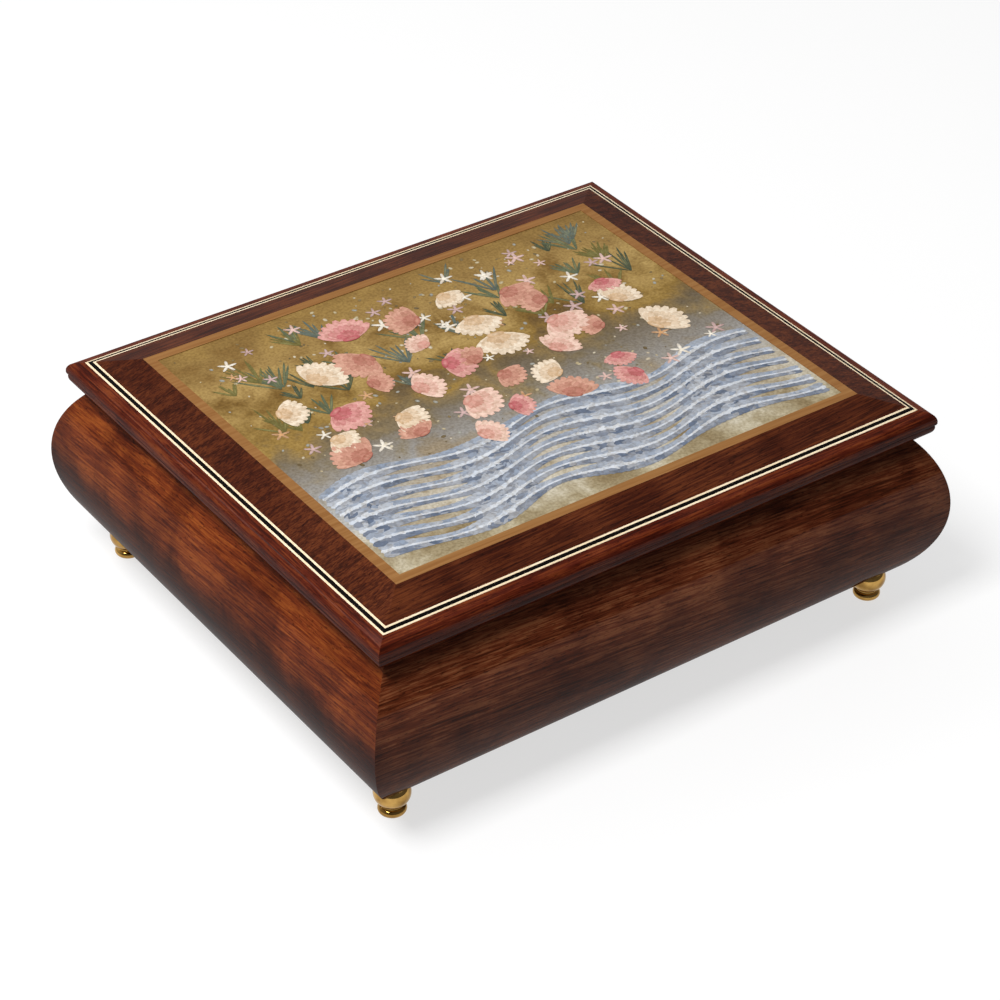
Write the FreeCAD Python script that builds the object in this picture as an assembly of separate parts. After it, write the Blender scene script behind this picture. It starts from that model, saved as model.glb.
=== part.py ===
import FreeCAD, Part
import math
import os

os.makedirs("parts", exist_ok=True)

# All sizes are in millimetres. X runs along the long front, Y to the back, Z up from the floor.

# Case
FOOT_HEIGHT = 10.8
CASE_HEIGHT = 52.2
NECK_X = 98.5
NECK_Y = 83.4
BULGE = 9.5
BULGE_HEIGHT = 25.7
RIM_OUT = -2.4
HEM_OUT = -1.5
WALL = 8.0
BOTTOM_THICK = 5.0
RABBET = 3.5
FOOT_X = 91.5
FOOT_Y = 76.6
LINING = 1.5

# Lid
LID_GAP = 0.3
LID_EDGE = 8.7
LID_RISE = 3.65
STRING_LIGHT = 0.62
STRING_DARK = 1.18
STRING_DEEP = 0.9
BAND = 10.85
BORDER = 3.37
PICTURE_DEEP = 1.2
MOULD_ARRIS = 2.8

# Hinges
HINGE_X = 55.0
HINGE_LENGTH = 26.0
HINGE_OUT = 1.3
KNUCKLE_R = 1.7
HINGE_PIN_R = 0.8
HINGE_PLAY = 0.15
LEAF_THICK = 1.0
SCREW_IN = 2.8

# Movement
CROWN_X = -76.0
AXIS_Y = 40.0
MODULE = 0.5
CROWN_TEETH = 44
PINION_TEETH = 20
WHEEL_TEETH = 30
GOVERNOR_TEETH = 10
WORM_TEETH = 24
WORM_STARTS = 2
WORM_R = 2.2
WORM_CORE = 1.6
CYLINDER_R = 6.5
CYLINDER_X0 = -60.5
CYLINDER_X1 = -38.0
PIN_HEIGHT = 0.8
NOTES = 18
RUN_FIT = 0.05
PLATE_X0 = -88.8
PLATE_X1 = -20.0
PLATE_Y0 = 12.5
PLATE_Y1 = 67.5
PLATE_THICK = 2.5
PILLAR_HEIGHT = 12.5
PILLAR_R = 3.0
PILLARS = ((-85.5, 16.0), (-85.5, 64.0), (-23.5, 16.0), (-23.5, 48.0))
WINDING_R = 2.0
KEY_R = 3.2
WING_R = 4.2
WING_THICK = 1.4
WING_EYE = 1.8
WING_SUNK = 0.8
BARREL_R = 10.0
BARREL_WALL = 0.8
BARREL_LID = 1.2
SPRING_TURNS = 6.5
SPRING_STRIP = 0.22
SPRING_GROW = 0.42
ARBOR_R = 1.2
GOVERNOR_ARBOR_R = 0.8
SHAFT_R = 0.6
WHEEL_X = -36.55
WHEEL_THICK = 1.5
BEARING_THICK = 2.0
COMB_BACK = 14.5
COMB_HEEL = 5.9
COMB_THICK = 1.0
FAN_REACH = 5.0
FAN_HEIGHT = 3.6
STOP_X = -22.5
STOP_R = 1.2
SPRING_HEIGHT = 9.0
SPRING_PITCH = 1.7
SPRING_R = 1.75
SPRING_WIRE = 0.2

# Levels and positions that follow from the sizes above
BASE_Z = FOOT_HEIGHT
RIM_Z = BASE_Z + CASE_HEIGHT
FLOOR_Z = BASE_Z + BOTTOM_THICK
LID_Z = RIM_Z + LID_GAP
STRING_Z = LID_Z + LID_EDGE
TABLE_Z = STRING_Z + LID_RISE
INNER_X = NECK_X - WALL
INNER_Y = NECK_Y - WALL
STRING_WIDE = 2 * STRING_LIGHT + STRING_DARK
TABLE_IN = STRING_WIDE + BAND
SLOPE = LID_RISE / TABLE_IN
HINGE_Y = NECK_Y + HINGE_OUT
HINGE_Z = RIM_Z + LID_GAP / 2
SCREW_Y = INNER_Y + SCREW_IN
PLATE_Z = FLOOR_Z + PILLAR_HEIGHT
PLATE_TOP = PLATE_Z + PLATE_THICK
CROWN_R = MODULE * CROWN_TEETH / 2
CROWN_Z = PLATE_TOP + 0.5
CROWN_THICK = 1.2
CROWN_TOOTH = 1.0
PINION_R = MODULE * PINION_TEETH / 2
AXIS_Z = CROWN_Z + CROWN_THICK + CROWN_TOOTH / 2 + PINION_R + 0.1
WHEEL_R = MODULE * WHEEL_TEETH / 2
GOVERNOR_R = MODULE * GOVERNOR_TEETH / 2
GOVERNOR_Y = AXIS_Y + WHEEL_R + GOVERNOR_R + 0.15
WORM_WHEEL_R = MODULE * WORM_TEETH / 2
WORM_X = -31.0
WORM_Y = GOVERNOR_Y + WORM_WHEEL_R + WORM_R + 0.1
COVER_Z = FLOOR_Z + 37.0
CELL_X = -16.0
CELL_Y = 8.0


def vec(x, y, z):
    return FreeCAD.Vector(x, y, z)


def box(x0, x1, y0, y1, z0, z1):
    return Part.makeBox(x1 - x0, y1 - y0, z1 - z0, vec(x0, y0, z0))


def rod_z(radius, x, y, z0, z1):
    return Part.makeCylinder(radius, z1 - z0, vec(x, y, z0), vec(0, 0, 1))


def rod_x(radius, x0, x1, y, z):
    return Part.makeCylinder(radius, x1 - x0, vec(x0, y, z), vec(1, 0, 0))


def prism(points, push):
    wire = Part.makePolygon(list(points) + [points[0]])
    return Part.Face(wire).extrude(push)


def prism_z(points, z0, z1):
    return prism([vec(x, y, z0) for x, y in points], vec(0, 0, z1 - z0))


def prism_x(points, x0, x1):
    return prism([vec(x0, y, z) for y, z in points], vec(x1 - x0, 0, 0))


def turned(points, x, y):
    """Solid of revolution about a vertical axis, from corner points and arcs of (radius, height)."""
    edges = []
    here = points[0]
    for step in points[1:]:
        if len(step) == 2:
            there = step
            edges.append(Part.makeLine(vec(here[0], 0, here[1]), vec(there[0], 0, there[1])))
        else:
            there = step[2:]
            middle = vec(step[0], 0, step[1])
            edges.append(Part.Arc(vec(here[0], 0, here[1]), middle, vec(there[0], 0, there[1])).toShape())
        here = there
    edges.append(Part.makeLine(vec(here[0], 0, here[1]), vec(points[0][0], 0, points[0][1])))
    solid = Part.Face(Part.Wire(edges)).revolve(vec(0, 0, 0), vec(0, 0, 1), 360)
    solid.translate(vec(x, y, 0))
    return solid


def strip(profile, along, out, inner, side):
    """One mitred length of a section that runs round the case. Section points are (offset, height)."""
    edges = []
    here = profile[0]

    def at(point):
        return vec(-along - 20, -(out + point[0]), point[1])

    for step in profile[1:] + [profile[0]]:
        if len(step) == 2:
            edges.append(Part.makeLine(at(here), at(step)))
            here = step
        else:
            edges.append(Part.Arc(at(here), at(step[:2]), at(step[2:])).toShape())
            here = step[2:]
    bar = Part.Face(Part.Wire(edges)).extrude(vec(2 * along + 40, 0, 0))
    far = 16.0
    plan = [(-along - far, -out - far), (along + far, -out - far),
            (along - inner, -out + inner), (-along + inner, -out + inner)]
    piece = bar.common(prism_z(plan, -5, 120))
    piece.rotate(vec(0, 0, 0), vec(0, 0, 1), side)
    return piece.Solids[0]


def slab(inset, z0, z1):
    """Rectangular block whose sides lie an inset inside the outer line of the stringing."""
    return box(-NECK_X + inset, NECK_X - inset, -NECK_Y + inset, NECK_Y - inset, z0, z1)


def ring(inset_out, inset_in, z0, z1):
    """Rectangular frame between two insets."""
    return slab(inset_out, z0, z1).cut(slab(inset_in, z0, z1))


def tube(inner, outer, x, y, z0, z1):
    return rod_z(outer, x, y, z0, z1).cut(rod_z(inner, x, y, z0, z1))


def gear(teeth, radius, x0, x1, y, z, turn, root=0.29, tip=0.12, deep=0.6, high=0.42):
    """Straight gear on an axis along X, with trapezoid teeth; turn is the angle of the first tooth."""
    pitch = 2 * math.pi / teeth
    tooth = ((-root, -deep), (-tip, high), (tip, high), (root, -deep))
    points = []
    for number in range(teeth):
        centre = math.radians(turn) + number * pitch
        for shift, rise in tooth:
            angle = centre + shift * pitch
            reach = radius + rise
            points.append((y + reach * math.cos(angle), z + reach * math.sin(angle)))
    return prism_x(points, x0, x1)


def screw(x, y, z, head, shank, length, down=True):
    """Countersunk screw with a slot; the head face lies at height z and the shank points away from it."""
    sign = -1 if down else 1
    deep = head - shank
    body = Part.makeCone(head, shank, deep, vec(x, y, z), vec(0, 0, sign))
    body = body.fuse(Part.makeCylinder(shank, length, vec(x, y, z + sign * deep), vec(0, 0, sign)))
    half = 0.18 * head
    slot = box(x - head, x + head, y - half, y + half, z - 0.35 * deep, z + 0.35 * deep)
    return body.removeSplitter(), body.cut(slot).removeSplitter()


def cheese_screw(x, y, z, head, shank, length):
    """Flat-headed screw; z is the face the head sits on."""
    hole = rod_z(shank, x, y, z - length, z)
    body = hole.fuse(rod_z(head, x, y, z, z + 0.9 * head))
    slot = box(x - head, x + head, y - 0.15 * head, y + 0.15 * head, z + 0.5 * head, z + head)
    return hole, body.cut(slot).removeSplitter()


def save(name, *shapes):
    shape = shapes[0] if len(shapes) == 1 else Part.makeCompound(list(shapes))
    if not shape.isValid():
        raise RuntimeError(name + " is not valid")
    shape.exportStep("parts/" + name + ".step")


# Section of the bulging sides, from the rim down: one round bulge between two square edges
SIDE = [
    (-WALL, RIM_Z),
    (RIM_OUT, RIM_Z),
    (BULGE, BASE_Z + BULGE_HEIGHT, HEM_OUT, BASE_Z),
    (RABBET - WALL, BASE_Z),
    (RABBET - WALL, FLOOR_Z),
    (-WALL, FLOOR_Z),
]

# Section of the lid moulding, from the stringing outward and down: arris, swelling, quirk, lower bead
MOULDING = [
    (0.0, STRING_Z),
    (MOULD_ARRIS, STRING_Z - MOULD_ARRIS * SLOPE),
    (4.15, STRING_Z - 2.1, 4.55, STRING_Z - 3.9),
    (4.5, STRING_Z - 4.5, 4.25, STRING_Z - 4.9),
    (4.05, STRING_Z - 4.95),
    (4.05, STRING_Z - 6.5, 2.9, STRING_Z - 8.2),
    (2.3, LID_Z),
    (0.0, LID_Z),
]

panels = {
    "front_panel": strip(SIDE, NECK_X, NECK_Y, WALL, 0),
    "right_panel": strip(SIDE, NECK_Y, NECK_X, WALL, 90),
    "back_panel": strip(SIDE, NECK_X, NECK_Y, WALL, 180),
    "left_panel": strip(SIDE, NECK_Y, NECK_X, WALL, 270),
}
mouldings = {
    "lid_moulding_front": strip(MOULDING, NECK_X, NECK_Y, 0.0, 0),
    "lid_moulding_right": strip(MOULDING, NECK_Y, NECK_X, 0.0, 90),
    "lid_moulding_back": strip(MOULDING, NECK_X, NECK_Y, 0.0, 180),
    "lid_moulding_left": strip(MOULDING, NECK_Y, NECK_X, 0.0, 270),
}
bottom = slab(WALL - RABBET, BASE_Z, FLOOR_Z)


# Lid core: a flat table with four bands sloping outward to the stringing
def rectangle(inset, height):
    x = NECK_X - inset
    y = NECK_Y - inset
    corners = [vec(-x, -y, height), vec(x, -y, height), vec(x, y, height), vec(-x, y, height)]
    return Part.makePolygon(corners + [corners[0]])


hip = Part.makeLoft([rectangle(0, STRING_Z), rectangle(TABLE_IN, TABLE_Z)], True, True)
core = slab(0.0, LID_Z, STRING_Z).fuse(hip).removeSplitter()
low = STRING_Z - STRING_DEEP
edges_at = [0.0, STRING_LIGHT, STRING_LIGHT + STRING_DARK, STRING_WIDE]
strings = [ring(edges_at[i], edges_at[i + 1], low, TABLE_Z).common(core) for i in range(3)]
core = core.cut(ring(0.0, STRING_WIDE, low, TABLE_Z + 1))
picture_in = TABLE_IN + BORDER
sunk = TABLE_Z - PICTURE_DEEP
core = core.cut(slab(TABLE_IN, sunk, TABLE_Z + 1))
border = ring(TABLE_IN, picture_in, sunk, TABLE_Z)
picture = slab(picture_in, sunk, TABLE_Z)
lid_lining = box(-INNER_X + 3, INNER_X - 3, -INNER_Y + 3, INNER_Y - 3, LID_Z - LINING, LID_Z)

# Hinges: mortised leaves, two outer knuckles below and one inner knuckle above, on one pin
base_screws = []
lid_screws = []
hinge_pins = []
leaf_front = INNER_Y + 0.7
leaf_back = HINGE_Y - KNUCKLE_R - 0.2
third = HINGE_LENGTH / 3
for name, middle in (("left", -HINGE_X), ("right", HINGE_X)):
    x0 = middle - HINGE_LENGTH / 2
    x1 = middle + HINGE_LENGTH / 2
    lower = box(x0, x1, leaf_front, leaf_back, RIM_Z - LEAF_THICK, RIM_Z)
    upper = box(x0, x1, leaf_front, leaf_back, LID_Z, LID_Z + LEAF_THICK)
    panels["back_panel"] = panels["back_panel"].cut(lower)
    notch = box(x0 - 0.4, x1 + 0.4, leaf_back, NECK_Y + 8, LID_Z - 1, HINGE_Z + KNUCKLE_R + 0.5)
    mouldings["lid_moulding_back"] = mouldings["lid_moulding_back"].cut(notch)
    core = core.cut(upper).cut(notch)
    left_end = x0 + third
    right_end = x1 - third
    spans = [(x0, left_end - HINGE_PLAY), (left_end + HINGE_PLAY, right_end - HINGE_PLAY),
             (right_end + HINGE_PLAY, x1)]
    for number, (start, end) in enumerate(spans):
        knuckle = rod_x(KNUCKLE_R, start, end, HINGE_Y, HINGE_Z)
        if number == 1:
            lug = box(start, end, leaf_back, HINGE_Y, LID_Z, LID_Z + LEAF_THICK)
            upper = upper.fuse(lug).fuse(knuckle)
        else:
            lug = box(start, end, leaf_back, HINGE_Y, RIM_Z - LEAF_THICK, RIM_Z)
            lower = lower.fuse(lug).fuse(knuckle)
    pin = rod_x(HINGE_PIN_R, x0, x1, HINGE_Y, HINGE_Z)
    lower = lower.cut(pin).removeSplitter()
    upper = upper.cut(rod_x(HINGE_PIN_R + RUN_FIT, x0, x1, HINGE_Y, HINGE_Z)).removeSplitter()
    hinge_pins.append(pin)
    for shift in (-8.5, 8.5):
        hole, body = screw(middle + shift, SCREW_Y, RIM_Z, 1.7, 0.9, 6.5)
        panels["back_panel"] = panels["back_panel"].cut(hole)
        lower = lower.cut(hole)
        base_screws.append(body)
        hole, body = screw(middle + shift, SCREW_Y, LID_Z, 1.7, 0.9, 4.5, down=False)
        core = core.cut(hole)
        upper = upper.cut(hole)
        lid_screws.append(body)
    save("hinge_leaf_lower_" + name, lower)
    save("hinge_leaf_upper_" + name, upper)
save("hinge_pins", *hinge_pins)
save("hinge_screws_case", *base_screws)
save("hinge_screws_lid", *lid_screws)

# Turned feet: a base bead, a waist and a bowl, each on its own screw
foot_screws = []
for name, x, y in (("front_left", -FOOT_X, -FOOT_Y), ("front_right", FOOT_X, -FOOT_Y),
                   ("back_right", FOOT_X, FOOT_Y), ("back_left", -FOOT_X, FOOT_Y)):
    foot = turned([(0, 0), (3.9, 0), (4.4, 1.05, 3.75, 2.2), (3.25, 2.7, 3.6, 3.25),
                   (5.7, 6.9, 4.7, 10.0), (4.7, BASE_Z), (0, BASE_Z)], x, y)
    stud = rod_z(1.5, x, y, BASE_Z - 4.0, BASE_Z + 4.2)
    save("foot_" + name, foot.cut(stud))
    bottom = bottom.cut(stud)
    panels = {key: solid.cut(stud) for key, solid in panels.items()}
    foot_screws.append(stud)
save("foot_screws", *foot_screws)

# Movement cell: two partitions, two cleats and a clear cover
partition_front = box(-INNER_X, CELL_X, CELL_Y, CELL_Y + 3, FLOOR_Z, COVER_Z)
partition_side = box(CELL_X - 3, CELL_X, CELL_Y + 3, INNER_Y, FLOOR_Z, COVER_Z)
cleat_back = box(-INNER_X + 3, CELL_X - 3, INNER_Y - 3, INNER_Y, COVER_Z - 3, COVER_Z)
cleat_left = box(-INNER_X, -INNER_X + 3, CELL_Y + 3, INNER_Y, COVER_Z - 3, COVER_Z)
cover = box(-INNER_X + 0.3, CELL_X - 0.2, CELL_Y + 0.2, INNER_Y - 0.3, COVER_Z, COVER_Z + 2)
bore = STOP_R + RUN_FIT
bush = turned([(bore, COVER_Z), (2.2, COVER_Z), (2.2, COVER_Z + 2), (3.2, COVER_Z + 2),
               (3.2, COVER_Z + 2.7), (2.9, COVER_Z + 3), (bore, COVER_Z + 3)], STOP_X, WORM_Y)
cover = cover.cut(rod_z(2.2, STOP_X, WORM_Y, COVER_Z - 1, COVER_Z + 3))
cover_screws = []
for x, y in ((-INNER_X + 1.8, CELL_Y + 1.6), (CELL_X - 1.6, CELL_Y + 1.6),
             (CELL_X - 1.6, INNER_Y - 1.8), (-INNER_X + 1.8, INNER_Y - 1.8)):
    hole, body = screw(x, y, COVER_Z + 2, 1.2, 0.6, 4.0)
    cover = cover.cut(hole)
    partition_front = partition_front.cut(hole)
    partition_side = partition_side.cut(hole)
    cleat_left = cleat_left.cut(hole)
    cover_screws.append(body)
save("partition_front", partition_front)
save("partition_side", partition_side)
save("cover_cleats", cleat_back, cleat_left)
save("movement_cover", cover)
save("cover_screws", *cover_screws)
save("stop_bush", bush)

# Velvet linings of the jewellery well
well = [(-INNER_X, -INNER_Y), (INNER_X, -INNER_Y), (INNER_X, INNER_Y), (CELL_X, INNER_Y),
        (CELL_X, CELL_Y), (-INNER_X, CELL_Y)]
pad_z = FLOOR_Z + LINING
top_z = RIM_Z - 2.5
save("floor_lining", prism_z(well, FLOOR_Z, pad_z))
save("wall_linings",
     box(-INNER_X, INNER_X, -INNER_Y, -INNER_Y + LINING, pad_z, top_z),
     box(CELL_X, INNER_X, INNER_Y - LINING, INNER_Y, pad_z, top_z),
     box(-INNER_X, -INNER_X + LINING, -INNER_Y + LINING, CELL_Y, pad_z, top_z),
     box(INNER_X - LINING, INNER_X, -INNER_Y + LINING, INNER_Y - LINING, pad_z, top_z))

# Bedplate on four pillars, with a slot for the cylinder wheel
bush_r = WINDING_R + 1.5
slot_x = WHEEL_X - 0.1
plate = box(PLATE_X0, PLATE_X1, PLATE_Y0, PLATE_Y1, PLATE_Z, PLATE_TOP)
plate = plate.cut(box(slot_x - 1.65, slot_x + 1.65, AXIS_Y - 4.5, AXIS_Y + 4.5, PLATE_Z - 1, PLATE_TOP + 1))
for radius, x, y in ((bush_r, CROWN_X, AXIS_Y), (SHAFT_R + RUN_FIT, WORM_X, WORM_Y),
                     (STOP_R + RUN_FIT, STOP_X, WORM_Y)):
    plate = plate.cut(rod_z(radius, x, y, PLATE_Z - 1, PLATE_TOP + 1))
pillars = []
plate_screws = []
case_screws = []
for x, y in PILLARS:
    pillar = rod_z(PILLAR_R, x, y, FLOOR_Z, PLATE_Z)
    hole, body = cheese_screw(x, y, PLATE_TOP, 2.2, 1.2, 7.0)
    plate = plate.cut(hole)
    pillar = pillar.cut(hole)
    plate_screws.append(body)
    hole, body = screw(x, y, BASE_Z, 2.6, 1.2, 9.0, down=False)
    bottom = bottom.cut(hole)
    pillars.append(pillar.cut(hole))
    case_screws.append(body)
arbor_bush = tube(WINDING_R + RUN_FIT, bush_r, CROWN_X, AXIS_Y, PLATE_Z, PLATE_TOP)
bottom = bottom.cut(rod_z(4.0, CROWN_X, AXIS_Y, BASE_Z - 1, FLOOR_Z + 1))
save("movement_pillars", *pillars)
save("movement_screws", *case_screws)
save("arbor_bush", arbor_bush)

# Spring barrel under the bedplate, with the wound mainspring inside
barrel_z = FLOOR_Z + 1.5
barrel_floor = barrel_z + BARREL_LID
barrel = tube(BARREL_R - BARREL_WALL, BARREL_R, CROWN_X, AXIS_Y, barrel_floor, PLATE_Z)
barrel_lid = tube(WINDING_R + 0.4, BARREL_R, CROWN_X, AXIS_Y, barrel_z, barrel_floor)


def half(radius, shift, sign):
    """Half a turn of the mainspring, drawn on the floor of the barrel that it rests on."""
    centre = CROWN_X + shift
    start = vec(centre + sign * radius, AXIS_Y, barrel_floor)
    middle = vec(centre, AXIS_Y + sign * radius, barrel_floor)
    return Part.Arc(start, middle, vec(centre - sign * radius, AXIS_Y, barrel_floor)).toShape()


inside = []
outside = []
for number in range(int(2 * SPRING_TURNS)):
    sign = 1 if number % 2 == 0 else -1
    shift = 0.0 if sign == 1 else SPRING_GROW / 2
    radius = WINDING_R + 0.6 + number * SPRING_GROW / 2
    inside.append(half(radius, shift, sign))
    outside.append(half(radius + SPRING_STRIP, shift, sign))
first = Part.makeLine(inside[0].Vertexes[0].Point, outside[0].Vertexes[0].Point)
last = Part.makeLine(inside[-1].Vertexes[-1].Point, outside[-1].Vertexes[-1].Point)
coil = Part.Wire(Part.__sortEdges__(inside + [last] + outside[::-1] + [first]))
mainspring = Part.Face(coil).extrude(vec(0, 0, PLATE_Z - barrel_floor - 1.0))
save("spring_barrel", barrel)
save("barrel_lid", barrel_lid)
save("mainspring", mainspring)

# Winding work: butterfly key, arbor and crown wheel turn as one
key_z = 1.6
crown_top = CROWN_Z + CROWN_THICK
arbor = rod_z(WINDING_R, CROWN_X, AXIS_Y, key_z + 2.4, crown_top + 0.6)
key = rod_z(KEY_R, CROWN_X, AXIS_Y, key_z + 1.2, BASE_Z - 0.8)
for sign in (-1, 1):
    centre = vec(CROWN_X + sign * (KEY_R + WING_R - WING_SUNK), AXIS_Y - WING_THICK / 2, key_z + WING_R)
    wing = Part.makeCylinder(WING_R, WING_THICK, centre, vec(0, 1, 0))
    eye = Part.makeCylinder(WING_EYE, WING_THICK, centre, vec(0, 1, 0))
    key = key.fuse(wing.cut(eye))
key = key.cut(arbor).removeSplitter()
crown = rod_z(CROWN_R + 0.9, CROWN_X, AXIS_Y, CROWN_Z, crown_top)
tooth_section = [(-0.36, crown_top - 0.1), (0.36, crown_top - 0.1),
                 (0.17, crown_top + CROWN_TOOTH), (-0.17, crown_top + CROWN_TOOTH)]
for number in range(CROWN_TEETH):
    tooth = prism_x(tooth_section, CROWN_R - 0.7, CROWN_R + 0.7)
    tooth.rotate(vec(0, 0, 0), vec(0, 0, 1), 360.0 * number / CROWN_TEETH)
    tooth.translate(vec(CROWN_X, AXIS_Y, 0))
    crown = crown.fuse(tooth)
crown = crown.cut(arbor).removeSplitter()
save("winding_key", key)
save("winding_arbor", arbor)
save("crown_wheel", crown)

# Cylinder, with one row of pins for every note
cylinder = rod_x(CYLINDER_R, CYLINDER_X0, CYLINDER_X1, AXIS_Y, AXIS_Z)
pins = []
step = (CYLINDER_X1 - CYLINDER_X0) / NOTES
for note in range(NOTES):
    for beat in range(5):
        angle = (note * 47 + beat * 73 + (note * beat) % 5 * 9) % 360
        x = CYLINDER_X0 + step * (note + 0.5)
        pin = box(x - 0.2, x + 0.2, -0.2, 0.2, CYLINDER_R - 0.4, CYLINDER_R + PIN_HEIGHT)
        pin.rotate(vec(x, 0, 0), vec(1, 0, 0), angle)
        pin.translate(vec(0, AXIS_Y, AXIS_Z))
        pins.append(pin)
cylinder = cylinder.multiFuse(pins)
pinion_x = CROWN_X + CROWN_R
cylinder_arbor = rod_x(ARBOR_R, pinion_x - 1.4, WHEEL_X + 4.55, AXIS_Y, AXIS_Z)
cylinder = cylinder.cut(cylinder_arbor)
pinion = gear(PINION_TEETH, PINION_R, pinion_x - 0.7, pinion_x + 0.7, AXIS_Y, AXIS_Z,
              180.0 / PINION_TEETH, 0.25, 0.1, 0.6, 0.4)
wheel_x0 = WHEEL_X - WHEEL_THICK / 2
wheel = gear(WHEEL_TEETH, WHEEL_R, wheel_x0, wheel_x0 + WHEEL_THICK, AXIS_Y, AXIS_Z, 0.0, 0.27, 0.1)
save("cylinder", cylinder)
save("cylinder_arbor", cylinder_arbor)
save("cylinder_pinion", pinion.cut(cylinder_arbor))
save("cylinder_wheel", wheel.cut(cylinder_arbor))

# Governor: pinion and worm wheel on one arbor, a two-start worm and a fan on the upright shaft
governor_arbor = rod_x(GOVERNOR_ARBOR_R, WHEEL_X - 5.45, WORM_X + 0.8, GOVERNOR_Y, AXIS_Z)
small = gear(GOVERNOR_TEETH, GOVERNOR_R, wheel_x0 - 0.3, wheel_x0 + WHEEL_THICK + 0.3, GOVERNOR_Y, AXIS_Z,
             180.0 / GOVERNOR_TEETH, 0.25, 0.1)
worm_wheel = gear(WORM_TEETH, WORM_WHEEL_R, WORM_X - 0.6, WORM_X + 0.6, GOVERNOR_Y, AXIS_Z,
                  0.0, 0.24, 0.11, 0.7, 0.4)
save("worm_wheel", worm_wheel.cut(governor_arbor))
save("governor_arbor", governor_arbor.fuse(small).removeSplitter())

pitch = math.pi * MODULE
lead = WORM_STARTS * pitch
start_z = AXIS_Z + pitch / 2 + lead / 4 - 3 * pitch
root = WORM_CORE - 0.1
crest = WORM_R + 0.42
helix = Part.makeHelix(lead, 2 * lead, root)
shaft_top = COVER_Z - 0.7
worm = rod_z(WORM_CORE, 0, 0, start_z - 0.9, start_z + 2 * lead + 0.9)
for start in range(WORM_STARTS):
    section = Part.makePolygon([vec(root, 0, -0.36), vec(crest, 0, -0.17), vec(crest, 0, 0.17),
                                vec(root, 0, 0.36), vec(root, 0, -0.36)])
    thread = Part.Wire(helix).makePipeShell([section], True, True)
    thread.translate(vec(0, 0, start_z))
    thread.rotate(vec(0, 0, 0), vec(0, 0, 1), 360.0 * start / WORM_STARTS)
    worm = worm.fuse(thread)
worm = worm.fuse(rod_z(SHAFT_R, 0, 0, PLATE_Z + 0.2, shaft_top))
worm.translate(vec(WORM_X, WORM_Y, 0))
fan_z = AXIS_Z + 7.2
fan_top = fan_z + FAN_HEIGHT
fan = rod_z(1.5, WORM_X, WORM_Y, fan_z, fan_top)
fan = fan.fuse(box(WORM_X - FAN_REACH, WORM_X + FAN_REACH, WORM_Y - 0.3, WORM_Y + 0.3, fan_z, fan_top))
fan = fan.cut(rod_z(SHAFT_R, WORM_X, WORM_Y, fan_z - 1, fan_top + 1)).removeSplitter()
save("worm_shaft", worm.removeSplitter())
save("fan", fan)

# Bearings and bridge of the movement
bearing_top = AXIS_Z + 3.6
left_x = CYLINDER_X0 - 0.7
right_x = WHEEL_X + 1.95
middle_x = WHEEL_X - 4.65
cylinder_bore = rod_x(ARBOR_R + RUN_FIT, PLATE_X0, PLATE_X1, AXIS_Y, AXIS_Z)
governor_bore = rod_x(GOVERNOR_ARBOR_R + RUN_FIT, PLATE_X0, PLATE_X1, GOVERNOR_Y, AXIS_Z)
left = box(left_x - BEARING_THICK, left_x, AXIS_Y - 4, AXIS_Y + 4, PLATE_TOP, bearing_top)
left = left.cut(cylinder_bore)
right = box(right_x, right_x + 1.8, AXIS_Y - 4, GOVERNOR_Y + 3.5, PLATE_TOP, bearing_top)
right = right.cut(cylinder_bore).cut(governor_bore)
middle = box(middle_x, middle_x + 1.4, GOVERNOR_Y - 2, GOVERNOR_Y + 2.5, PLATE_TOP, bearing_top - 0.6)
middle = middle.cut(governor_bore)
bridge = box(WORM_X - 4, WORM_X + 4, WORM_Y + 5.6, WORM_Y + 8, PLATE_TOP, shaft_top)
bridge = bridge.fuse(box(WORM_X - 2.5, WORM_X + 2.5, WORM_Y - 2.4, WORM_Y + 8, shaft_top - 1.6, shaft_top))
bridge = bridge.cut(rod_z(SHAFT_R + RUN_FIT, WORM_X, WORM_Y, PLATE_Z, COVER_Z)).removeSplitter()
save("movement_bearings", left, right, middle)
save("governor_bridge", bridge)

# Comb on its block: teeth graded in length, tips just clear of the pins
tip_y = AXIS_Y - CYLINDER_R - PIN_HEIGHT - 0.15
comb_x0 = CYLINDER_X0 - 0.3
comb_x1 = CYLINDER_X1 + 0.3
heel_y = COMB_BACK + COMB_HEEL
comb_low = AXIS_Z - COMB_THICK / 2
comb_top = AXIS_Z + COMB_THICK / 2
outline = [(comb_x1, COMB_BACK), (comb_x0, COMB_BACK)]
for note in range(NOTES):
    x = CYLINDER_X0 + step * (note + 0.5)
    root = heel_y + 0.2 + 0.13 * note
    outline += [(x - 0.5, root), (x - 0.38, tip_y), (x + 0.38, tip_y), (x + 0.5, root)]
comb = prism_z(outline, comb_low, comb_top)
heel = box(comb_x0, comb_x1, COMB_BACK, heel_y, comb_low - 1.1, comb_low)
comb = comb.fuse(heel).removeSplitter()
block = box(comb_x0, comb_x1, COMB_BACK, heel_y + 0.5, PLATE_TOP, comb_low - 1.1)
for x in (CYLINDER_X0 + 4.5, CYLINDER_X1 - 4.5):
    hole, body = cheese_screw(x, COMB_BACK + 3.0, comb_top, 1.9, 1.0, 6.0)
    comb = comb.cut(hole)
    block = block.cut(hole)
    plate_screws.append(body)
save("comb", comb)
save("comb_block", block)
save("bedplate_screws", *plate_screws)

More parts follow.
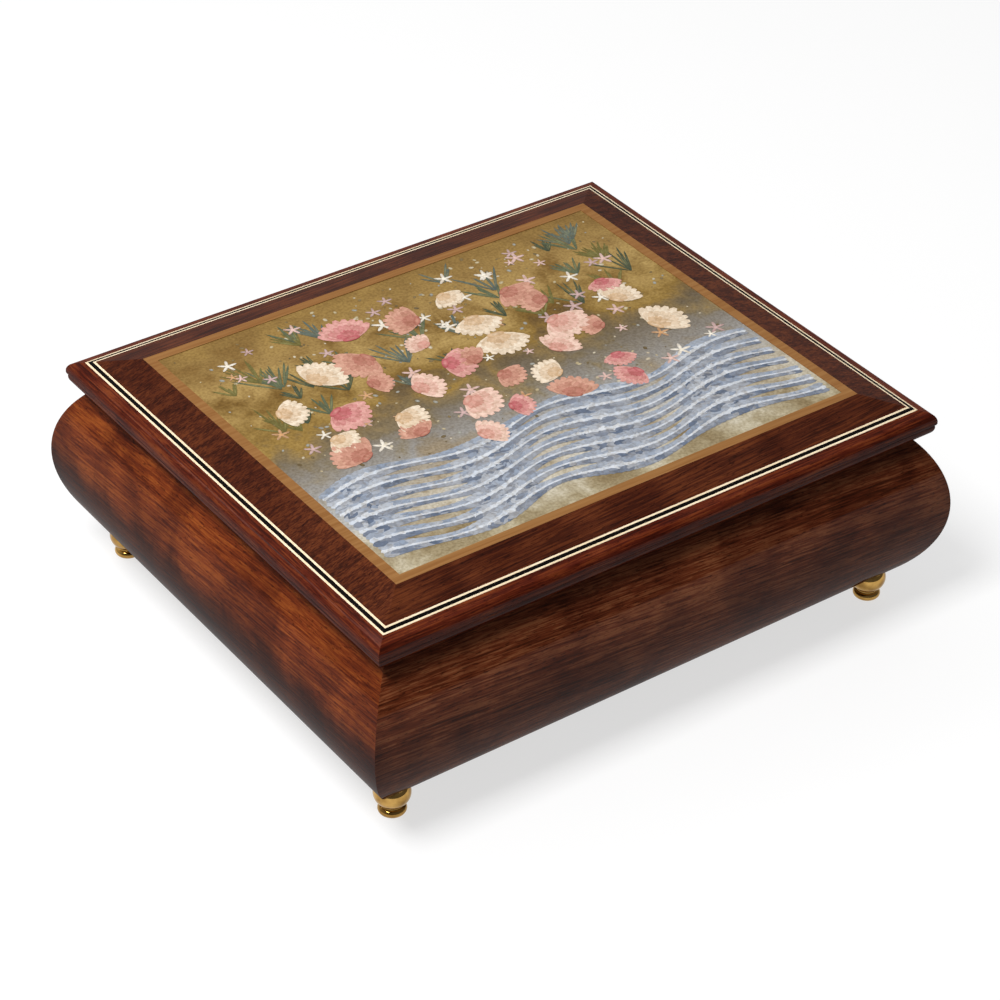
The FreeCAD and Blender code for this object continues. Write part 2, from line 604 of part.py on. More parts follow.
# Stop pin: pressed down by the closed lid, lifted by its spring; its blade stands in the way of the fan
pin_top = LID_Z - LINING - 0.4
blade_x = WORM_X + FAN_REACH + 0.35
blade_z = fan_z + 1.2
collar_z = PLATE_TOP + SPRING_HEIGHT
stop = rod_z(STOP_R, STOP_X, WORM_Y, PLATE_Z - 4.5, pin_top)
stop = stop.fuse(box(blade_x, STOP_X, WORM_Y - 0.35, WORM_Y + 0.35, blade_z, blade_z + 1.2))
stop = stop.fuse(rod_z(2 * STOP_R, STOP_X, WORM_Y, collar_z, collar_z + 0.9)).removeSplitter()
save("stop_pin", stop)
turns = Part.makeHelix(SPRING_PITCH, SPRING_HEIGHT - 2 * SPRING_WIRE, SPRING_R)
wire = Part.Wire(Part.makeCircle(SPRING_WIRE, vec(SPRING_R, 0, 0), vec(0, 1, 0)))
spring = Part.Wire(turns).makePipeShell([wire], True, True)
spring.translate(vec(STOP_X, WORM_Y, PLATE_TOP + SPRING_WIRE))
save("stop_spring", spring)
points = turns.discretize(100)
apart = [points[i].distanceToPoint(points[j]) for i in range(100) for j in range(i + 12, 100)]
print("least gap between turns of the stop spring:", round(min(apart) - 2 * SPRING_WIRE, 2), "mm")

save("bedplate", plate)
save("bottom_panel", bottom)
for name, solid in panels.items():
    save(name, solid)
for name, solid in mouldings.items():
    save(name, solid)
save("lid_panel", core)
save("stringing_light", strings[0], strings[2])
save("stringing_dark", strings[1])
save("picture_border", border)
save("picture_panel", picture)
save("lid_lining", lid_lining)
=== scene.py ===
import bpy, bmesh
import math
import random
from mathutils import Matrix, Vector


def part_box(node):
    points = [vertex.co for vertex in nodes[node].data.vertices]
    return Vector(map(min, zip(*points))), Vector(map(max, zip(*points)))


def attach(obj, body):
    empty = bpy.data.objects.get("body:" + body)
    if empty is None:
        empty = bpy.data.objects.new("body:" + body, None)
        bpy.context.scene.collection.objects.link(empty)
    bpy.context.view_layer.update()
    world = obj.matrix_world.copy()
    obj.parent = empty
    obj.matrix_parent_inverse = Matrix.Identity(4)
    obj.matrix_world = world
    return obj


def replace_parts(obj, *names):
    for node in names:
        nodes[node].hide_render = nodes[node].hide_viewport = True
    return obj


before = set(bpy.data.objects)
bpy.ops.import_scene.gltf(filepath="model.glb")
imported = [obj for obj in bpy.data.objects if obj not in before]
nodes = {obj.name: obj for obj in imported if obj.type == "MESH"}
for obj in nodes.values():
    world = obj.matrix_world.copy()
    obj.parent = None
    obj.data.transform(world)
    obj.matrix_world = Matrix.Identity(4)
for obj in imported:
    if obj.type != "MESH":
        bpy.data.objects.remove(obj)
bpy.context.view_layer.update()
MM = 0.001

# Places taken from the frame, in metres
picture_low, picture_high = (Vector(corner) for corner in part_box("picture_panel"))
cell_low, cell_high = (Vector(corner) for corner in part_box("partition_front"))
STRING_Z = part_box("lid_moulding_front")[1][2]
PICTURE_X = picture_high.x
PICTURE_Y = picture_high.y

# The print's ground lies a little below the panel's face, which leaves room for the layers of its marks. A mark
# leans by up to MARK_LEAN radians, and the lean changes with its place
PAINT_Z = picture_high.z - 0.2 * MM
FIRST_LAYER = 0.03 * MM
LAYER = 0.009 * MM
MARK_LEAN = 0.006
LEAN_STEP = 0.1 * MM

# Velvet linings: the wall cards' thickness, and how far pads and cards are rounded
CARD_THICK = 1.5 * MM
PAD_ROUND = 0.7 * MM
CARD_ROUND = 0.6 * MM

# Height over which the painted shade on the bottom half of a side fades out
SHADE_FADE_LOW = 28 * MM
SHADE_FADE_HIGH = 56 * MM


def linear(code):
    """sRGB hex to a linear colour."""
    values = [int(code[i:i + 2], 16) / 255 for i in (1, 3, 5)]
    return [v / 12.92 if v <= 0.04045 else ((v + 0.055) / 1.055) ** 2.4 for v in values] + [1.0]


def add(tree, kind, inputs=None, **settings):
    """Adds a node and gives back its first working output.

    Inputs are keyed by socket name or number, each a value or another output. Settings are the node's own
    properties, and a colour ramp's stops are pairs of a position and a hex colour.
    """
    made = tree.nodes.new(kind)
    stops = settings.pop("stops", ())
    for name, value in settings.items():
        setattr(made, name, value)
    for number, (position, code) in enumerate(stops):
        line = made.color_ramp.elements
        element = line[number] if number < len(line) else line.new(position)
        element.position = position
        element.color = linear(code)
    for key, value in (inputs or {}).items():
        if isinstance(value, bpy.types.NodeSocket):
            tree.links.new(value, made.inputs[key])
        else:
            made.inputs[key].default_value = value
    return next((out for out in made.outputs if out.enabled), None)


def start(name):
    """Empty material with its tree and its Object coordinates."""
    made = bpy.data.materials.new(name)
    made.use_nodes = True
    tree = made.node_tree
    tree.nodes.clear()
    return made, tree, add(tree, "ShaderNodeTexCoord").node.outputs["Object"]


# Thin clear lacquer rubbed to a gloss: the wood or print below it has no sheen of its own
LACQUER = {"Roughness": 0.6, "Specular IOR Level": 0.0, "Coat Weight": 0.2, "Coat Roughness": 0.03,
           "Coat IOR": 1.5}


def veneer(name, turn, tones, shade, streak, heart="#ffffff"):
    """Open-grained wood, walnut or mahogany: slow streaks, fine grain, figure across them and open pores.

    Turn lays the grain, which runs along X, on its panel. Streak is the width of a streak in millimetres. Pores
    of a fifth of a millimetre are drawn at twice that, so that they show. Heart tints a painted shade over the
    bottom half of a panel: the shade and dim reflection below the bulge, drawn into the colour.
    """
    made, tree, where = start(name)
    dark, middle, light = tones
    sizes = {"streak": (26 * streak, streak, streak), "grain": (12, 0.5, 0.5), "figure": (20, 36, 36),
             "pore": (2.2, 0.4, 0.4)}
    noise = {}
    for pattern, size in sizes.items():
        size = [length * MM for length in size]
        place = add(tree, "ShaderNodeMapping", {"Vector": where, "Rotation": turn, "Scale": size},
                    vector_type="TEXTURE")
        noise[pattern] = add(tree, "ShaderNodeTexNoise", {"Vector": place, "Scale": 1.0, "Detail": 4.0,
                                                          "Distortion": 0.5})
    level = add(tree, "ShaderNodeMix", {0: 0.6, 2: noise["streak"], 3: noise["grain"]})
    wood = add(tree, "ShaderNodeValToRGB", {0: level}, stops=[
        (0.38, dark), (0.49, middle), (0.6, light), (0.72, middle)])
    figure = add(tree, "ShaderNodeValToRGB", {0: noise["figure"]}, stops=[(0.38, shade), (0.58, "#ffffff")])
    pores = add(tree, "ShaderNodeValToRGB", {0: noise["pore"]}, stops=[(0.33, "#4a2f26"), (0.43, "#ffffff")])
    wood = add(tree, "ShaderNodeMix", {0: 0.6, 6: wood, 7: figure}, data_type="RGBA", blend_type="MULTIPLY")
    wood = add(tree, "ShaderNodeMix", {0: 0.6, 6: wood, 7: pores}, data_type="RGBA", blend_type="MULTIPLY")
    # Painted shade: below a wavy height, the panel is darkened by the heart tint, fading out upward
    height = add(tree, "ShaderNodeSeparateXYZ", {0: where}).node.outputs["Z"]
    height = add(tree, "ShaderNodeMapRange", {0: height, 1: SHADE_FADE_LOW, 2: SHADE_FADE_HIGH})
    edge = add(tree, "ShaderNodeMath", {0: noise["figure"], 1: 0.5, 2: height}, operation="MULTIPLY_ADD")
    painted_shade = add(tree, "ShaderNodeValToRGB", {0: edge}, stops=[(0.55, heart), (0.78, "#ffffff")])
    wood = add(tree, "ShaderNodeMix", {0: 0.8, 6: wood, 7: painted_shade}, data_type="RGBA", blend_type="MULTIPLY")
    shader = add(tree, "ShaderNodeBsdfPrincipled", {"Base Color": wood, **LACQUER})
    add(tree, "ShaderNodeOutputMaterial", {"Surface": shader})
    return made


def faint_grain(name, dark, light, finish):
    """Close-grained wood or moulded plastic: nearly one colour, with faint lines a millimetre wide."""
    made, tree, where = start(name)
    size = (30 * MM, 1.1 * MM, 1.1 * MM)
    place = add(tree, "ShaderNodeMapping", {"Vector": where, "Scale": size}, vector_type="TEXTURE")
    grain = add(tree, "ShaderNodeTexNoise", {"Vector": place, "Scale": 1.0, "Detail": 4.0, "Distortion": 0.4})
    colour = add(tree, "ShaderNodeValToRGB", {0: grain}, stops=[(0.34, dark), (0.66, light)])
    shader = add(tree, "ShaderNodeBsdfPrincipled", {"Base Color": colour, **finish})
    add(tree, "ShaderNodeOutputMaterial", {"Surface": shader})
    return made


def metal(name, deep, bright, rough, scratch):
    """Polished, ground or plated metal: tool marks break its reflections.

    Scratch gives the marks' size along X, Y and Z in millimetres.
    """
    made, tree, where = start(name)
    size = [length * MM for length in scratch]
    place = add(tree, "ShaderNodeMapping", {"Vector": where, "Scale": size}, vector_type="TEXTURE")
    marks = add(tree, "ShaderNodeTexNoise", {"Vector": place, "Scale": 1.0, "Detail": 4.0})
    tint = add(tree, "ShaderNodeValToRGB", {0: marks}, stops=[(0.3, deep), (0.7, bright)])
    level = add(tree, "ShaderNodeMapRange", {0: marks, 3: rough * 0.7, 4: rough * 1.5})
    shader = add(tree, "ShaderNodeBsdfPrincipled", {"Base Color": tint, "Roughness": level, "Metallic": 1.0})
    add(tree, "ShaderNodeOutputMaterial", {"Surface": shader})
    return made


def velvet(name, deep, lit):
    """Short cotton pile: dark head-on, paler at grazing angles, with faint brushed patches 20 mm wide.

    Fibres are much finer than 0.7 mm, and are drawn that coarse so that they show.
    """
    made, tree, where = start(name)
    pile = add(tree, "ShaderNodeTexNoise", {"Vector": where, "Scale": 1 / (20 * MM), "Detail": 3.0,
                                            "Roughness": 0.45})
    fibre = add(tree, "ShaderNodeTexNoise", {"Vector": where, "Scale": 1 / (0.7 * MM), "Detail": 3.0})
    level = add(tree, "ShaderNodeMix", {0: 0.45, 2: pile, 3: fibre})
    colour = add(tree, "ShaderNodeValToRGB", {0: level}, stops=[(0.3, deep), (0.7, lit)])
    bump = add(tree, "ShaderNodeBump", {"Strength": 0.5, "Distance": 0.3 * MM, "Height": fibre})
    shader = add(tree, "ShaderNodeBsdfPrincipled", {"Base Color": colour, "Normal": bump, "Roughness": 0.95,
                                                    "Sheen Weight": 0.5, "Sheen Roughness": 0.35,
                                                    "Sheen Tint": linear("#b24a56")})
    add(tree, "ShaderNodeOutputMaterial", {"Surface": shader})
    return made


def clear_sheet():
    """Cast acrylic: clear and polished, with a little dust in its gloss."""
    made, tree, where = start("cast_acrylic")
    dust = add(tree, "ShaderNodeTexNoise", {"Vector": where, "Scale": 1 / (6 * MM), "Detail": 6.0})
    level = add(tree, "ShaderNodeMapRange", {0: dust, 3: 0.0, 4: 0.02})
    shader = add(tree, "ShaderNodeBsdfPrincipled", {"Base Color": linear("#f4f8f8"), "Roughness": level,
                                                    "IOR": 1.49, "Transmission Weight": 1.0})
    add(tree, "ShaderNodeOutputMaterial", {"Surface": shader})
    return made


def printed_ground():
    """Print under lacquer: gold sand above, pale grey and cream water below.

    Brushed patches 16 mm wide mottle it, and a stipple of 0.9 mm keeps it from looking flat.
    """
    made, tree, where = start("printed_ground")
    brush = add(tree, "ShaderNodeTexNoise", {"Vector": where, "Scale": 1 / (16 * MM), "Detail": 6.0,
                                             "Roughness": 0.6, "Distortion": 0.3})
    stipple = add(tree, "ShaderNodeTexNoise", {"Vector": where, "Scale": 1 / (0.9 * MM), "Detail": 5.0})
    height = add(tree, "ShaderNodeSeparateXYZ", {0: where}).node.outputs["Y"]
    height = add(tree, "ShaderNodeMapRange", {0: height, 1: -PICTURE_Y, 2: PICTURE_Y})
    sway = add(tree, "ShaderNodeMapRange", {0: brush, 3: -0.3, 4: 0.3})
    level = add(tree, "ShaderNodeMath", {0: height, 1: sway}, operation="ADD")
    colour = add(tree, "ShaderNodeValToRGB", {0: level}, stops=[
        (0.0, "#b5a98a"), (0.2, "#cdc6b6"), (0.34, "#a8a8a8"), (0.46, "#877b64"), (0.6, "#96793f"),
        (0.8, "#b2955c"), (1.0, "#9a7c45")])
    patch = add(tree, "ShaderNodeValToRGB", {0: brush}, stops=[(0.34, "#9c8358"), (0.6, "#ffffff")])
    speck = add(tree, "ShaderNodeValToRGB", {0: stipple}, stops=[(0.34, "#9a8c70"), (0.62, "#ffffff")])
    for share, layer in ((0.7, patch), (0.4, speck)):
        colour = add(tree, "ShaderNodeMix", {0: share, 6: colour, 7: layer}, data_type="RGBA",
                     blend_type="MULTIPLY")
    shader = add(tree, "ShaderNodeBsdfPrincipled", {"Base Color": colour, **LACQUER})
    add(tree, "ShaderNodeOutputMaterial", {"Surface": shader})
    return made


def printed_strokes():
    """Printed brush marks under lacquer: each mark has its own tint, broken by strokes 1.5 mm wide."""
    made, tree, where = start("printed_strokes")
    tint = add(tree, "ShaderNodeAttribute", attribute_name="tint")
    brush = add(tree, "ShaderNodeTexNoise", {"Vector": where, "Scale": 1 / (1.5 * MM), "Detail": 5.0,
                                             "Distortion": 0.8})
    stroke = add(tree, "ShaderNodeValToRGB", {0: brush}, stops=[(0.34, "#b9a890"), (0.6, "#ffffff")])
    colour = add(tree, "ShaderNodeMix", {0: 0.5, 6: tint, 7: stroke}, data_type="RGBA", blend_type="MULTIPLY")
    shader = add(tree, "ShaderNodeBsdfPrincipled", {"Base Color": colour, **LACQUER})
    add(tree, "ShaderNodeOutputMaterial", {"Surface": shader})
    return made


QUARTER = math.pi / 2

# Planed wood or moulded plastic without lacquer: dull, with only a faint sheen
BARE = {"Roughness": 0.6, "Specular IOR Level": 0.3}

# Walnut veneer: brown with darker streaks along each panel, cloudy where the figure crosses them. The sides
# carry a purple-grey painted shade over their bottom half
FRONT_WOOD = veneer("walnut_veneer_front", (0, 0.06, 0), ("#48200f", "#6e331b", "#925837"), "#94706a", 3.0)
SIDE_WOOD = veneer("walnut_veneer_side", (0, 0.06, QUARTER), ("#54200c", "#763313", "#944c1d"), "#8e6a64",
                   3.0, "#7a6d86")
LID_WOOD = veneer("walnut_veneer_lid", (0, 0, 0.05), ("#33150a", "#4a2010", "#643218"), "#b59488", 2.4)

# Red-stained mahogany, moulded and lacquered: narrow even streaks along the lid's edges
MOULDING_TONES = ("#3a150c", "#592112", "#783a1c")
LONG_MOULDING = veneer("stained_mahogany_long", (0, 0, 0), MOULDING_TONES, "#c8a090", 1.4)
CROSS_MOULDING = veneer("stained_mahogany_cross", (0, 0, QUARTER), MOULDING_TONES, "#c8a090", 1.4)

# Sliced lines and banding: pale maple, pear dyed black right through, and tan cherry
LIGHT_LINE = faint_grain("sliced_maple", "#ead2ac", "#f6e4c6", LACQUER)
DARK_LINE = faint_grain("dyed_pearwood", "#060403", "#0c0806", LACQUER)
TAN_BAND = faint_grain("sliced_cherry", "#85592f", "#966b3e", LACQUER)

# Planed poplar is pale and dull, and moulded nylon off-white
INNER_WOOD = faint_grain("planed_poplar", "#a67f55", "#cba77a", BARE)
FAN_PLASTIC = faint_grain("moulded_nylon", "#dedad0", "#efece4", BARE)

# Brass is a warm mirror, ground steel is streaked, and a zinc casting washed with brass is a pale satin gold
BRASS = metal("polished_brass", "#8f6a34", "#cba25c", 0.08, (4, 4, 4))
STEEL = metal("ground_steel", "#a6a7aa", "#c4c5c8", 0.24, (0.25, 12, 0.25))
PLATING = metal("brass_washed_zinc", "#b5a988", "#d0c4a4", 0.3, (3, 3, 3))

VELVET = velvet("cotton_velvet", "#43080f", "#6a121b")
CLEAR = clear_sheet()
GROUND = printed_ground()
STROKES = printed_strokes()

FINISH = {
    FRONT_WOOD: ("front_panel", "back_panel"),
    SIDE_WOOD: ("left_panel", "right_panel"),
    LID_WOOD: ("lid_panel",),
    LONG_MOULDING: ("lid_moulding_front", "lid_moulding_back"),
    CROSS_MOULDING: ("lid_moulding_left", "lid_moulding_right"),
    LIGHT_LINE: ("stringing_light",),
    DARK_LINE: ("stringing_dark",),
    TAN_BAND: ("picture_border",),
    GROUND: ("picture_panel",),
    INNER_WOOD: ("bottom_panel", "cover_cleats"),
    VELVET: ("floor_lining", "wall_linings", "lid_lining", "partition_front", "partition_side"),
    CLEAR: ("movement_cover",),
    FAN_PLASTIC: ("fan",),
    STEEL: ("comb", "bedplate_screws", "movement_screws", "winding_arbor", "cylinder_arbor", "governor_arbor",
            "worm_shaft", "mainspring", "cover_screws", "stop_spring"),
    PLATING: ("bedplate", "comb_block", "movement_pillars", "movement_bearings", "governor_bridge",
              "spring_barrel", "barrel_lid"),
}
chosen = {name: finish for finish, names in FINISH.items() for name in names}
for name, part in nodes.items():
    part.data.materials.clear()
    part.data.materials.append(chosen.get(name, BRASS))


def keep(name, shape, body, finish):
    """Turns a bmesh into a finished piece that rides on a body."""
    bmesh.ops.recalc_face_normals(shape, faces=shape.faces)
    mesh = bpy.data.meshes.new(name)
    shape.to_mesh(mesh)
    shape.free()
    mesh.materials.append(finish)
    piece = bpy.data.objects.new(name, mesh)
    bpy.context.collection.objects.link(piece)
    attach(piece, body)
    return piece


def board(shape, low, high, round_by):
    """Adds a board between two corners, with rounded edges."""
    made = bmesh.ops.create_cube(shape, size=1.0)["verts"]
    bmesh.ops.scale(shape, vec=Vector(high) - Vector(low), verts=made)
    bmesh.ops.translate(shape, vec=(Vector(low) + Vector(high)) / 2, verts=made)
    edges = list({edge for vert in made for edge in vert.link_edges})
    bmesh.ops.bevel(shape, geom=edges, offset=round_by, segments=3, profile=0.5, affect="EDGES", material=-1)


def floor_pad(shape, low, high, round_by):
    """Adds the pad of the well floor: an L round the movement cell, with its upper edges rounded."""
    corners = [(low[0], low[1]), (high[0], low[1]), (high[0], high[1]), (cell_high.x, high[1]),
               (cell_high.x, cell_low.y), (low[0], cell_low.y)]
    under = shape.faces.new([shape.verts.new((x, y, low[2])) for x, y in corners])
    raised = bmesh.ops.extrude_face_region(shape, geom=[under], use_keep_orig=True)["geom"]
    upper = [part for part in raised if isinstance(part, bmesh.types.BMVert)]
    bmesh.ops.translate(shape, vec=(0, 0, high[2] - low[2]), verts=upper)
    edges = [edge for edge in shape.edges if all(vert in upper for vert in edge.verts)]
    bmesh.ops.bevel(shape, geom=edges, offset=round_by, segments=3, profile=0.5, affect="EDGES", material=-1)


def linings():
    """Velvet over thin card, with softly rounded edges."""
    low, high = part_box("lid_lining")
    shape = bmesh.new()
    board(shape, low, high, PAD_ROUND)
    pad = keep("lid_velvet", shape, "lid", VELVET)
    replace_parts(pad, "lid_lining")

    low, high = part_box("floor_lining")
    shape = bmesh.new()
    floor_pad(shape, low, high, PAD_ROUND)
    pad = keep("floor_velvet", shape, "case", VELVET)
    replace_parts(pad, "floor_lining")

    low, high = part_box("wall_linings")
    front = low[1] + CARD_THICK
    back = high[1] - CARD_THICK
    shape = bmesh.new()
    board(shape, low, (high[0], front, high[2]), CARD_ROUND)
    board(shape, (cell_high.x, back, low[2]), high, CARD_ROUND)
    board(shape, (low[0], front, low[2]), (low[0] + CARD_THICK, cell_low.y, high[2]), CARD_ROUND)
    board(shape, (high[0] - CARD_THICK, front, low[2]), (high[0], back, high[2]), CARD_ROUND)
    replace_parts(keep("wall_velvet", shape, "case", VELVET), "wall_linings")


def mixed(first, second, share):
    """Colour that far on the way from the first to the second."""
    return [a + (b - a) * share for a, b in zip(first, second)]


def inside(x, y, margin):
    """Whether a place on the picture is at least a margin from its edges."""
    return abs(x) < PICTURE_X - margin and abs(y) < PICTURE_Y - margin


def mark(shape, place, angle, length, width, rim, heart, level, corners=10):
    """One flat oval brush mark, tinted from its heart to its rim.

    Levels stack upward, and each mark leans a hair, so that no two of a level lie in one plane.
    """
    tint = shape.loops.layers.float_color["tint"]
    tip = MARK_LEAN * math.sin(place[0] / LEAN_STEP)
    roll = MARK_LEAN / 2 * math.sin(place[1] / LEAN_STEP)
    spot = Matrix.Translation((place[0], place[1], PAINT_Z + FIRST_LAYER + level * LAYER))
    for amount, axis in ((angle, "Z"), (tip, "X"), (roll, "Y")):
        spot = spot @ Matrix.Rotation(amount, 4, axis)
    spot = spot @ Matrix.Diagonal((length / 2, width / 2, 1, 1))
    made = bmesh.ops.create_circle(shape, cap_ends=True, cap_tris=True, segments=corners, radius=1.0,
                                   matrix=spot)
    for vert in made["verts"]:
        for loop in vert.link_loops:
            loop[tint] = heart if len(vert.link_faces) > 2 else rim


def shell(shape, chance, place, size, heart, rim):
    """A scallop: ribs fanned out from the hinge in three growth bands, pale at the lip, deep at the hinge."""
    turn = chance.uniform(0, 2 * math.pi)
    ribs = 9
    fan = 0.25
    bands = ((1.0, 0.05), (0.72, 0.35), (0.45, 0.7))
    for band, (share, depth) in enumerate(bands):
        for rib in range(ribs):
            spread = rib - (ribs - 1) / 2
            angle = turn + fan * spread
            reach = size * share * (1.5 - 0.04 * abs(spread))
            spot = (place[0] + reach / 2 * math.cos(angle), place[1] + reach / 2 * math.sin(angle))
            pale = mixed(rim, heart, min(1, depth + chance.uniform(0, 0.15)))
            mark(shape, spot, angle, reach, size * share * 0.5, mixed(pale, heart, 0.35), pale,
                 8 + 2 * band + rib % 2)
    mark(shape, place, turn, size * 0.3, size * 0.75, heart, mixed(rim, heart, 0.6), 15)


def starfish(shape, place, size, colour):
    """Five narrow arms round a middle, darker along their edges."""
    arms = 5
    edge = mixed(colour, linear("#7d7a80"), 0.4)
    for arm in range(arms):
        angle = arm * 2 * math.pi / arms
        spot = (place[0] + size * 0.5 * math.cos(angle), place[1] + size * 0.5 * math.sin(angle))
        mark(shape, spot, angle, size * 1.2, size * 0.36, edge, colour, 6, 8)
    mark(shape, place, 0, size * 0.5, size * 0.5, colour, colour, 7, 6)


def grass(shape, chance, place, length, colour):
    """A tuft of shore grass: narrow blades leaning out from one root."""
    blades = 9
    widest_lean = 0.75
    for blade in range(blades):
        lean = QUARTER + chance.uniform(-widest_lean, widest_lean)
        long = length * chance.uniform(0.5, 1.0)
        tip = (place[0] + long * math.cos(lean), place[1] + long * math.sin(lean))
        pale = mixed(colour, linear("#a29a66"), chance.uniform(0.1, 0.6))
        if inside(*tip, 2 * MM):
            spot = ((place[0] + tip[0]) / 2, (place[1] + tip[1]) / 2)
            mark(shape, spot, lean, long, 0.9 * MM, colour, pale, 2 + blade % 2, 8)


def swell(shape, chance, height, phase):
    """One wave of water across the picture: three strands of long marks, light along the middle."""
    steps = 70
    reach = PICTURE_X - 4 * MM
    crest = 3 * MM
    swing = 15
    strands = ((-1, "#5f6b80"), (0, "#c3cad4"), (1, "#8793a6"))
    for step in range(steps):
        share = step / (steps - 1)
        x = reach * (2 * share - 1)
        y = height + crest * math.sin(swing * share + phase)
        lean = math.atan2(crest * swing * math.cos(swing * share + phase), 2 * reach)
        wide = 6.5 * MM * (0.75 + 0.25 * math.sin(share * 23 + phase))
        for strand, code in strands:
            off = strand * wide * 0.33
            spot = (x - math.sin(lean) * off, y + math.cos(lean) * off)
            colour = mixed(linear(code), linear("#e6e4e0"), chance.uniform(0, 0.35))
            mark(shape, spot, lean + 0.1 * strand, 5 * MM, wide * 0.5, colour, colour, 4 + strand % 2, 8)


def picture():
    """A generic shore: gold sand with grass, shells, starfish and pebbles, and water along the near edge."""
    pebbles, tufts, waves, shells, stars = 420, 46, 7, 34, 60
    pebble_tones = ("#cdbf9c", "#8d7a55", "#a8a8a0", "#d9cdb4", "#75664a")
    grass_tones = ("#3f4a3c", "#55604c", "#57635f", "#6b6436")
    shell_tones = (("#b3545c", "#eabcb0"), ("#c98a7c", "#f3dcca"), ("#c9a57c", "#f4ead8"),
                   ("#a9695a", "#dfb19a"))
    star_tones = ("#f0e8d8", "#e2bfb4", "#c9a9a4", "#d0a070")
    golden_angle = 2.4
    chance = random.Random(11)
    shape = bmesh.new()
    board(shape, picture_low, (PICTURE_X, PICTURE_Y, PAINT_Z), 0.02 * MM)
    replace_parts(keep("picture_ground", shape, "lid", GROUND), "picture_panel")

    shape = bmesh.new()
    shape.loops.layers.float_color.new("tint")
    for number in range(pebbles):
        x = chance.uniform(-1, 1) * PICTURE_X
        y = chance.uniform(-0.4, 1) * PICTURE_Y
        size = chance.uniform(0.6, 2.0) * MM
        colour = linear(chance.choice(pebble_tones))
        if inside(x, y, 3 * MM):
            edge = mixed(colour, linear("#4a3d28"), 0.4)
            mark(shape, (x, y), chance.uniform(0, math.pi), size, size * 0.7, edge, colour, number % 2, 8)
    for number in range(tufts):
        x = chance.uniform(-1, 1) * PICTURE_X
        y = chance.uniform(0.1, 1) * PICTURE_Y
        colour = linear(chance.choice(grass_tones))
        if inside(x, y, 4 * MM):
            grass(shape, chance, (x, y), chance.uniform(9, 17) * MM, colour)
    for number in range(waves):
        swell(shape, chance, (-0.36 - 0.085 * number) * PICTURE_Y, 0.35 * number)
    for number in range(shells):
        reach = math.sqrt(number / shells)
        x = 0.9 * PICTURE_X * reach * math.cos(number * golden_angle)
        y = (0.16 + 0.6 * reach * math.sin(number * golden_angle)) * PICTURE_Y
        heart, rim = chance.choice(shell_tones)
        size = chance.uniform(5.0, 8.5) * MM
        if inside(x, y, 1.6 * size + 2 * MM):
            shell(shape, chance, (x, y), size, linear(heart), linear(rim))
    for number in range(stars):
        x = chance.uniform(-0.9, 0.9) * PICTURE_X
        y = chance.uniform(-0.35, 0.9) * PICTURE_Y
        size = chance.uniform(1.8, 3.4) * MM
        starfish(shape, (x, y), size, linear(chance.choice(star_tones)))
    keep("picture_marks", shape, "lid", STROKES)


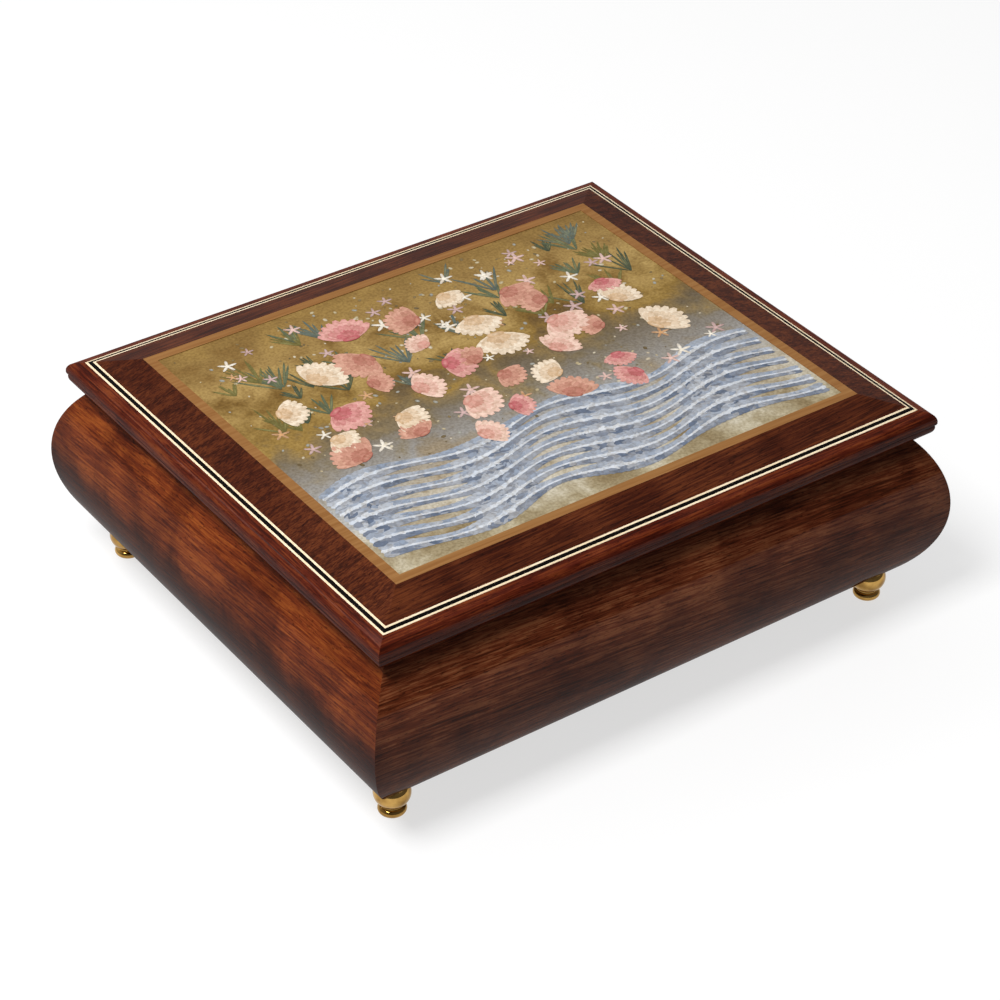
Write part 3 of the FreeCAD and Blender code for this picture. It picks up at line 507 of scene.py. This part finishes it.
def floor_and_light():
    """Pale floor that keeps the shadow, a surround brighter behind, a key from the left and a lamp behind."""
    floor_reach = 4.0
    floor_glow = 0.66
    sheet = bmesh.new()
    bmesh.ops.create_grid(sheet, x_segments=1, y_segments=1, size=floor_reach)
    mesh = bpy.data.meshes.new("floor")
    sheet.to_mesh(mesh)
    sheet.free()
    floor = bpy.data.objects.new("floor", mesh)
    bpy.context.collection.objects.link(floor)
    made, tree, _ = start("floor_paper")
    paper = add(tree, "ShaderNodeBsdfDiffuse", {"Color": linear("#a0a0a0")})
    path = add(tree, "ShaderNodeLightPath").node.outputs
    seen = path["Is Camera Ray"]
    for ray in ("Is Glossy Ray", "Is Transmission Ray"):
        seen = add(tree, "ShaderNodeMath", {0: seen, 1: path[ray]}, operation="MAXIMUM")
    power = add(tree, "ShaderNodeMath", {0: seen, 1: floor_glow}, operation="MULTIPLY")
    glow = add(tree, "ShaderNodeEmission", {"Color": linear("#ffffff"), "Strength": power})
    both = add(tree, "ShaderNodeAddShader", {0: paper, 1: glow})
    add(tree, "ShaderNodeOutputMaterial", {"Surface": both})
    mesh.materials.append(made)

    world = bpy.data.worlds.new("surround")
    bpy.context.scene.world = world
    world.use_nodes = True
    tree = world.node_tree
    tree.nodes.clear()
    way = add(tree, "ShaderNodeTexCoord").node.outputs["Generated"]
    behind = add(tree, "ShaderNodeSeparateXYZ", {0: way}).node.outputs["Y"]
    level = add(tree, "ShaderNodeMapRange", {0: behind, 1: -0.4, 2: 0.9, 3: 0.15, 4: 0.65})
    light = add(tree, "ShaderNodeBackground", {"Color": linear("#ffffff"), "Strength": level})
    add(tree, "ShaderNodeOutputWorld", {"Surface": light})

    middle = Vector((0, 0, 0.05))
    lamps = (("key_light", (-0.62, -0.12, 1.2), 0.45, 15.5), ("back_light", (-0.35, 0.85, 1.0), 0.6, 2.5))
    for name, place, size, power in lamps:
        lamp = bpy.data.lights.new(name, "AREA")
        lamp.size = size
        lamp.energy = power
        holder = bpy.data.objects.new(name, lamp)
        holder.location = place
        holder.rotation_euler = (middle - Vector(place)).to_track_quat("-Z", "Y").to_euler()
        bpy.context.collection.objects.link(holder)


def camera():
    """Camera found from the corners of the lid in the photograph.

    Its place is given from the middle of the lid, at the height of the stringing.
    """
    turn = math.radians(-36.175)
    rise = math.radians(35.603)
    roll = math.radians(1.003)
    distance = 0.94219
    shift_right = 0.000602
    shift_down = 0.03519
    back = Vector((math.sin(turn) * math.cos(rise), -math.cos(turn) * math.cos(rise), math.sin(rise)))
    level = (-back).cross(Vector((0, 0, 1))).normalized()
    upright = level.cross(-back)
    right = level * math.cos(roll) + upright * math.sin(roll)
    up = upright * math.cos(roll) - level * math.sin(roll)
    lens = bpy.data.cameras.new("camera")
    lens.lens = 109.8
    lens.sensor_width = 36.0
    lens.clip_start = 0.01
    holder = bpy.data.objects.new("camera", lens)
    holder.matrix_world = Matrix((right, up, back)).transposed().to_4x4()
    holder.location = Vector((0, 0, STRING_Z)) + back * distance + right * shift_right - up * shift_down
    bpy.context.collection.objects.link(holder)
    bpy.context.scene.camera = holder


linings()
picture()
floor_and_light()
camera()
bpy.context.scene.view_settings.view_transform = "Standard"
